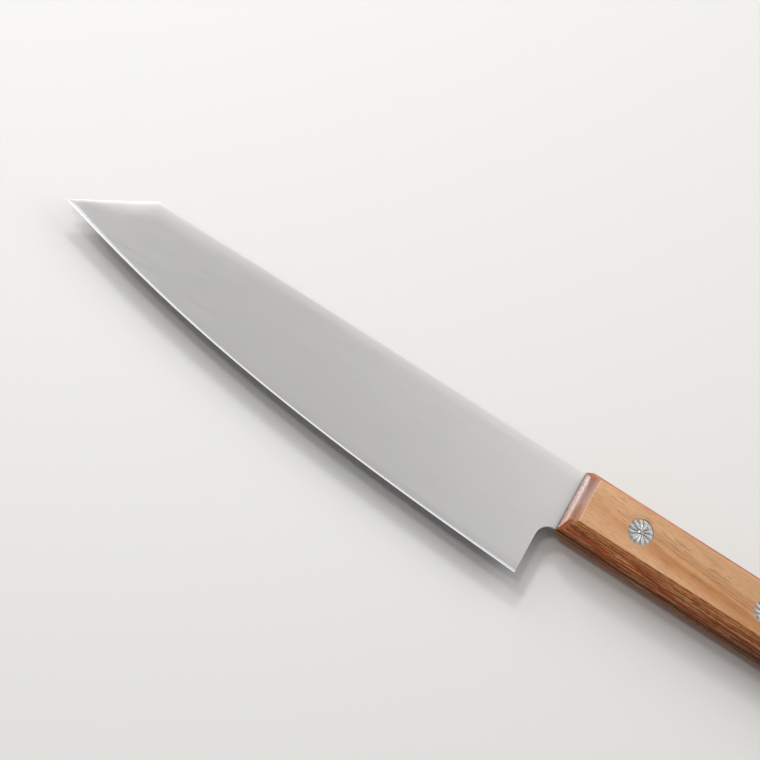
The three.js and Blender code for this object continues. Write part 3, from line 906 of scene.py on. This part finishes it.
towards_butt = add_node(
    tree, "ShaderNodeMapRange",
    {"Value": length, "From Min": front + DARKER_FROM, "From Max": front + DARKER_TO, "To Max": 0.25},
)
darker = add_node(
    tree, "ShaderNodeMix", {"Factor": towards_butt, 6: tone, 7: linear("#976035")}, data_type="RGBA"
)
swept = add_node(
    tree, "ShaderNodeCombineXYZ",
    {"X": grain.outputs["X"], "Y": wandered, "Z": grain.outputs["Z"]},
)
vein_cells = add_node(tree, "ShaderNodeMapping", {"Vector": swept, "Scale": [1 / v for v in VEIN_CELL]})
vein_noise = add_node(tree, "ShaderNodeTexNoise", {"Vector": vein_cells, "Scale": 1.0, "Detail": 3.0})
zone = add_node(
    tree, "ShaderNodeValToRGB", {"Fac": band},
    stops=[(0.45, "#808080"), (0.56, "#FFFFFF"), (0.8, "#FFFFFF"), (0.88, "#A0A0A0")],
)
shown = add_node(tree, "ShaderNodeMath", {0: zone, 1: settled}, operation="MULTIPLY")
dash = add_node(
    tree, "ShaderNodeMapRange",
    {"Value": vein_noise, "From Min": 0.52, "From Max": 0.66, "To Max": 0.9},
)
vein = add_node(tree, "ShaderNodeMath", {0: dash, 1: shown}, operation="MULTIPLY")
veined = add_node(
    tree, "ShaderNodeMix", {"Factor": vein, 6: darker, 7: linear("#916235")}, data_type="RGBA"
)
fibre = add_node(
    tree, "ShaderNodeMapRange",
    {"Value": noise["fibre"], "From Min": 0.37, "From Max": 0.63, "To Max": 0.34},
)
fibred = add_node(
    tree, "ShaderNodeMix", {"Factor": fibre, 6: veined, 7: linear("#A7754A")}, data_type="RGBA"
)
pore = add_node(
    tree, "ShaderNodeMapRange",
    {"Value": noise["pore"], "From Min": 0.61, "From Max": 0.67, "To Max": 0.6},
)
broad_side = add_node(
    tree, "ShaderNodeMix", {"Factor": pore, 6: fibred, 7: linear("#7D4F2C")}, data_type="RGBA"
)
print("Veins, fibres and pores over the bands")

# %% Cut sheets
SHEETS = 21  # in the whole thickness; both broad sides lie in the middle of a sheet
SHEET = HANDLE_THICKNESS / SHEETS
LEVEL, WAVE, RIPPLE = 0.05, 0.6, 0.5  # in sheets: the height of the glue lines, and their swing
OUTER_FROM, OUTER_TO = 4.6, 7.2  # mm from the middle of the steel

level = add_node(
    tree, "ShaderNodeMath", {0: height, 1: 1 / SHEET, 2: LEVEL}, operation="MULTIPLY_ADD"
)
waved = add_node(
    tree, "ShaderNodeMath", {0: noise["wave"], 1: WAVE, 2: level}, operation="MULTIPLY_ADD"
)
rippled = add_node(
    tree, "ShaderNodeMath", {0: noise["ripple"], 1: RIPPLE, 2: waved}, operation="MULTIPLY_ADD"
)
to_glue = add_node(tree, "ShaderNodeMath", {0: rippled, 1: 0.5}, operation="PINGPONG")
glue = add_node(
    tree, "ShaderNodeMapRange", {"Value": to_glue, "From Min": 0.2, "From Max": 0.03}
)
broken = add_node(
    tree, "ShaderNodeMapRange",
    {"Value": noise["break"], "From Min": 0.35, "From Max": 0.55},
)
line = add_node(tree, "ShaderNodeMath", {0: glue, 1: broken}, operation="MULTIPLY")
# The cut sheets' tone is partly their own colour and partly painted shade: darker and redder than the
# broad side.
cut_tone_with_painted_shade = add_node(
    tree, "ShaderNodeValToRGB", {"Fac": noise["band"]},
    stops=[(0.37, "#974817"), (0.5, "#C4743B"), (0.63, "#E4A571")],
)
stain = add_node(
    tree, "ShaderNodeMapRange",
    {"Value": noise["stain"], "From Min": 0.5, "From Max": 0.64, "To Max": 0.6},
)
stained_tone = add_node(
    tree, "ShaderNodeMix", {"Factor": stain, 6: cut_tone_with_painted_shade, 7: linear("#B44D24")}, data_type="RGBA"
)
from_middle = distance_from_middle(tree, in_mm)
outer = add_node(
    tree, "ShaderNodeMapRange",
    {"Value": from_middle, "From Min": OUTER_FROM, "From Max": OUTER_TO, "To Max": 0.65},
)
paler = add_node(
    tree, "ShaderNodeMix", {"Factor": outer, 6: stained_tone, 7: linear("#E8A469")}, data_type="RGBA"
)
glued = add_node(
    tree, "ShaderNodeMix", {"Factor": line, 6: paler, 7: linear("#421504")}, data_type="RGBA"
)
streak = add_node(
    tree, "ShaderNodeMapRange",
    {"Value": noise["fibre"], "From Min": 0.45, "From Max": 0.63, "To Max": 0.55},
)
streaked = add_node(
    tree, "ShaderNodeMix", {"Factor": streak, 6: glued, 7: linear("#6D2C0D")}, data_type="RGBA"
)
print("Glue lines every", round(SHEET, 2), "mm through the wood")

# %% Cut sheets with painted shade towards the steel
SHADE_REACH = 2.8  # mm from the middle of the steel
DEEP_SHADE_FROM, DEEP_SHADE_TO = 6.2, 2.5  # mm from the middle of the steel

# Painted shade: the cut sheets darken towards the steel, and more so towards the butt.
shade_near_steel = add_node(
    tree, "ShaderNodeMapRange",
    {"Value": from_middle, "From Min": SHADE_REACH, "From Max": Z_INNER, "To Max": 0.45},
)
shade_towards_steel = add_node(
    tree, "ShaderNodeMapRange",
    {"Value": from_middle, "From Min": DEEP_SHADE_FROM, "From Max": DEEP_SHADE_TO, "To Max": 2.4},
)
deeper_shade_towards_butt = add_node(tree, "ShaderNodeMath", {0: shade_towards_steel, 1: towards_butt}, operation="MULTIPLY")
painted_cut_shade = add_node(tree, "ShaderNodeMath", {0: shade_near_steel, 1: deeper_shade_towards_butt}, operation="MAXIMUM")
cut_side = add_node(
    tree, "ShaderNodeMix", {"Factor": painted_cut_shade, 6: streaked, 7: linear("#2A1006")}, data_type="RGBA"
)
print("Cut sheets darken towards the steel")

# %% Which way the surface faces
normal = add_node(tree, "ShaderNodeNewGeometry", {}).outputs["Normal"]
facing = add_node(tree, "ShaderNodeSeparateXYZ", {"Vector": normal})
sideways = add_node(
    tree, "ShaderNodeMath", {0: facing.outputs["Y"], 1: facing.outputs["Y"]}, operation="MULTIPLY"
)
endwise = add_node(
    tree, "ShaderNodeMath", {0: facing.outputs["X"], 1: facing.outputs["X"]}, operation="MULTIPLY"
)
cut = add_node(tree, "ShaderNodeMapRange", {"Value": sideways, "From Min": 0.1, "From Max": 0.6})
end = add_node(tree, "ShaderNodeMapRange", {"Value": endwise, "From Min": 0.1, "From Max": 0.5})
sides = add_node(tree, "ShaderNodeMix", {"Factor": cut, 6: broad_side, 7: cut_side}, data_type="RGBA")
from_edge = add_node(
    tree, "ShaderNodeMapRange",
    {"Value": width, "From Min": at(0, -HANDLE_HEIGHT, 0).y / MM, "From Max": at(0, 0, 0).y / MM},
)
# Painted reflection: on the ends the colour is red-brown at top and bottom and greyish mauve between.
end_tone_with_painted_reflection = add_node(
    tree, "ShaderNodeValToRGB", {"Fac": from_edge},
    stops=[(0.2, "#8E4A22"), (0.32, "#8A5227"), (0.45, "#976E5B"), (0.6, "#956460"), (0.74, "#86594A"),
           (0.85, "#8A4A32")],
)
vessel = add_node(
    tree, "ShaderNodeMapRange",
    {"Value": noise["end"], "From Min": 0.5, "From Max": 0.7, "To Max": 0.5},
)
end_grain = add_node(
    tree, "ShaderNodeMix", {"Factor": vessel, 6: end_tone_with_painted_reflection, 7: linear("#7A3E2A")}, data_type="RGBA"
)
corner = add_node(tree, "ShaderNodeMapRange", {"Value": sideways, "From Min": 0.03, "From Max": 0.2})
end_side = add_node(
    tree, "ShaderNodeMix", {"Factor": corner, 6: end_grain, 7: linear("#9E5331")}, data_type="RGBA"
)
colour = add_node(tree, "ShaderNodeMix", {"Factor": end, 6: sides, 7: end_side}, data_type="RGBA")
print("Broad sides, cut sides and ends share one block")

# %% Lacquer over the wood
# It is thin next to the steel, rubbed off the small corners at the ends, and worn by the hand along
# the chamfers, where the wood then mirrors less of its surroundings.
FULL_COAT = 4.0  # mm from the middle of the steel

sheen = add_node(
    tree, "ShaderNodeMapRange",
    {"Value": endwise, "From Min": 0.1, "From Max": 0.5, "To Max": 0.5},
)
painted_shade_and_coat = add_node(
    tree, "ShaderNodeMapRange",
    {
        "Value": from_middle, "From Min": Z_INNER, "From Max": FULL_COAT,
        "To Min": 0.25, "To Max": 1.0,
    },
)
rubbed = add_node(tree, "ShaderNodeMath", {0: corner, 1: end}, operation="MULTIPLY")
kept = add_node(tree, "ShaderNodeMapRange", {"Value": rubbed, "To Min": 1.0, "To Max": 0.2})
worn = add_node(tree, "ShaderNodeMapRange", {"Value": cut, "To Min": 1.0, "To Max": 0.5})
coat = add_node(tree, "ShaderNodeMath", {0: kept, 1: worn}, operation="MULTIPLY")
gloss = add_node(tree, "ShaderNodeMath", {0: painted_shade_and_coat, 1: coat}, operation="MULTIPLY")
shine = add_node(tree, "ShaderNodeMath", {0: sheen, 1: gloss}, operation="MULTIPLY")
relief = add_node(
    tree, "ShaderNodeBump", {"Height": pore, "Strength": 0.12, "Distance": 0.05 * MM}, invert=True
)
shader = add_node(
    tree, "ShaderNodeBsdfPrincipled",
    {
        "Base Color": colour, "Specular IOR Level": shine, "Roughness": 0.45, "Normal": relief,
        "Coat Weight": gloss, "Coat Roughness": 0.26,
    },
)
add_node(tree, "ShaderNodeOutputMaterial", {"Surface": shader})
for scale in (left_scale, right_scale):
    scale.data.materials.append(wood)
print("Made", wood.name)

# %% [markdown]
# ### Polished nickel silver
# The rosettes are pressed in a die and polished, then worn by the hand. The soft polish spreads each
# lamp into a short glint along a petal. The grooves are painted darker, as painted shade and as old
# polish left in them. They are found by their depth below the crests, which is measured from the
# steel's middle.

# %% Polished nickel silver
GROOVE_FROM, GROOVE_TO = 0.08, 0.22  # mm below the crests
WEAR = 0.35  # mm

nickel, tree, in_mm = new_material("nickel_silver_die_polished")
from_middle = distance_from_middle(tree, in_mm)
# Painted shade and old polish: the colour darkens with depth in the grooves.
groove_shade_and_polish = add_node(
    tree, "ShaderNodeMapRange",
    {"Value": from_middle, "From Min": CREST - GROOVE_FROM, "From Max": CREST - GROOVE_TO},
)
tint = add_node(
    tree, "ShaderNodeValToRGB", {"Fac": groove_shade_and_polish}, stops=[(0.0, "#A3A2A0"), (1.0, "#8C8A88")]
)
wear = add_node(tree, "ShaderNodeTexNoise", {"Vector": in_mm, "Scale": 1 / WEAR, "Detail": 2.0})
rough = add_node(
    tree, "ShaderNodeMapRange",
    {"Value": wear, "From Min": 0.3, "From Max": 0.7, "To Min": 0.24, "To Max": 0.3},
)
shader = add_node(
    tree, "ShaderNodeBsdfPrincipled", {"Metallic": 1.0, "Base Color": tint, "Roughness": rough}
)
add_node(tree, "ShaderNodeOutputMaterial", {"Surface": shader})
for piece, _ in rosettes:
    piece.data.materials.append(nickel)
print("Made", nickel.name)

# %% [markdown]
# ## Studio
# A pale floor carries the knife. The satin face mirrors the upper border of the rear panel towards
# the camera, and the rolled spine mirrors its middle, so the spine is brighter than the face. A tall
# box and a low card on the left draw the bright lines on the handle's front. Three small lamps make
# the glints on the petals, and a strip overhead lights the edge bevel. A grey world fills the rest.

# %% Floor, lights and world
FLOOR_SIZE = 6.0
WORLD_GREY = (0.24, 0.24, 0.245, 1)

# Direction from the knife, distance, width and height in metres, and radiance.
PANELS = {
    "rear_panel": ((0.3621, 0.6272, 0.7043), 0.9, 1.5, 0.68, 1.48),
    "left_box": ((-0.642, 0.386, 0.662), 0.8, 0.34, 0.56, 3.6),
    "left_card": ((-0.87, 0.386, 0.2), 0.8, 0.34, 0.26, 1.2),
    "far_lamp": ((-0.526, 0.499, 0.689), 0.8, 0.09, 0.09, 45.0),
    "left_lamp": ((-0.63, 0.15, 0.76), 0.8, 0.09, 0.09, 40.0),
    "near_lamp": ((-0.407, -0.133, 0.904), 0.8, 0.08, 0.08, 40.0),
    "top_strip": ((0.0, -0.03, 1.0), 0.9, 1.0, 0.34, 0.75),
}

bpy.ops.object.select_all(action="DESELECT")
bpy.ops.mesh.primitive_plane_add(size=FLOOR_SIZE, location=(0, 0, 0))
floor = bpy.context.object
floor.name = "floor"
paper, tree, in_mm = new_material("pale_matt_paper")
shader = add_node(
    tree, "ShaderNodeBsdfPrincipled",
    {"Base Color": linear("#D8D7D4"), "Roughness": 0.9, "Specular IOR Level": 0.1},
)
add_node(tree, "ShaderNodeOutputMaterial", {"Surface": shader})
floor.data.materials.append(paper)
floor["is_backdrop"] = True


def add_panel(name, direction, distance, width, height, radiance):
    """A soft box that looks at the knife. Its power follows from its radiance and size."""
    aim = Vector(direction).normalized()
    bpy.ops.object.light_add(type="AREA", location=aim * distance)
    panel = bpy.context.object
    panel.name = name
    panel.rotation_euler = aim.to_track_quat("Z", "Y").to_euler()
    panel.data.shape = "RECTANGLE"
    panel.data.size, panel.data.size_y = width, height
    panel.data.energy = radiance * math.pi * width * height


for name, settings in PANELS.items():
    add_panel(name, *settings)
world = bpy.data.worlds.new("studio")
bpy.context.scene.world = world
world.use_nodes = True
world.node_tree.nodes["Background"].inputs["Color"].default_value = WORLD_GREY

# %% [markdown]
# ## Camera
# The camera stands where the photograph was taken from: a metre away, high over the left face, with
# the knife sloping down to the right. The picture is square, and its field is 194 mm wide there.

# %% Camera
DISTANCE = 1.0
FIELD = 0.1943
SENSOR = 36  # mm
ROLL = math.radians(32.47)
toward = Vector((-0.1127, -0.3863, 0.9154)).normalized()
aim = at(-58.6, -8.96, 0)

along = (Vector((1, 0, 0)) - toward.x * toward).normalized()
right = math.cos(ROLL) * along + math.sin(ROLL) * toward.cross(along)
up = toward.cross(right)
bpy.ops.object.camera_add()
camera = bpy.context.object
camera.matrix_world = Matrix.Translation(aim + toward * DISTANCE) @ Matrix(
    (right, up, toward)
).transposed().to_4x4()
camera.data.sensor_width = SENSOR
camera.data.lens = SENSOR * DISTANCE / FIELD
bpy.context.scene.camera = camera
bpy.context.scene.view_settings.view_transform = "Standard"
print("Lens in mm:", round(camera.data.lens, 1))

# %% [markdown]
# ## Hand over
# The difference between the box of the dressed model and the box of the CAD model is printed,
# so that any growth shows.

# %% Sizes and finish
visual_box = [list(corner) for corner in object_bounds()]
grown = [
    [round((v - c) / MM, 3) for v, c in zip(*corners)] for corners in zip(visual_box, cad_box)
]
print("Visual box minus CAD box, mm:", grown)
